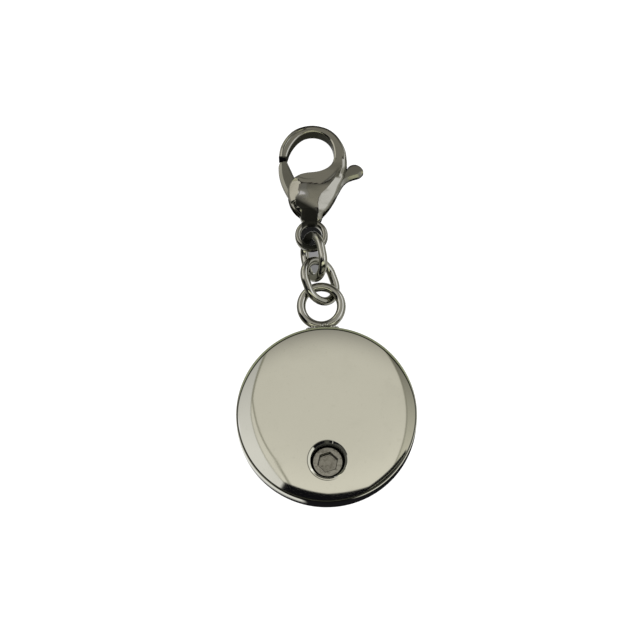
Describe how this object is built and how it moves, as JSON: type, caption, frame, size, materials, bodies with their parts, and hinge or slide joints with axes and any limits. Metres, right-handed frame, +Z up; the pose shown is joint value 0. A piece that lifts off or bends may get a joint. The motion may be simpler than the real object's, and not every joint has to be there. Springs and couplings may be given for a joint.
{
  "type": "disc charm with lobster clasp",
  "caption": "Polished round disc charm with a recessed hex socket screw plug, a soldered ring, oval chain links and a lobster clasp with a sprung lever.",
  "frame": {"origin": "on the resting surface, under the centre of the disc", "axes": "+Y from the disc towards the clasp, +Z up through the disc, +X to the side of the lever's thumb tab"},
  "size_m": [0.02, 0.0438, 0.0045],
  "materials": {
    "disc_steel": "mirror polished stainless steel",
    "plug_steel": "darker machined stainless steel",
    "link_steel": "polished stainless steel wire",
    "clasp_steel": "polished cast stainless steel",
    "pin_steel": "plain stainless steel"
  },
  "bodies": {
    "charm": {"disc_body": "disc_steel", "link_1": "link_steel", "link_2": "link_steel", "clasp_body": "clasp_steel", "lever_pin": "pin_steel"},
    "lever": {"clasp_lever": "clasp_steel"},
    "plug": {"screw_plug": "plug_steel"}
  },
  "joints": [
    {"name": "lever_swing", "type": "hinge", "parent": "charm", "child": "lever", "pos_m": [-0.00115, 0.02413, 0.00188], "axis": [-0.0029, -0.0836, -0.9965], "range_deg": [0, 26], "stiffness_Nm_per_rad": 0.002, "springref_deg": -17.19},
    {"name": "plug_lift", "type": "slide", "parent": "charm", "child": "plug", "axis": [0, 0, 1], "range_m": [0, 0.0025]}
  ]
}
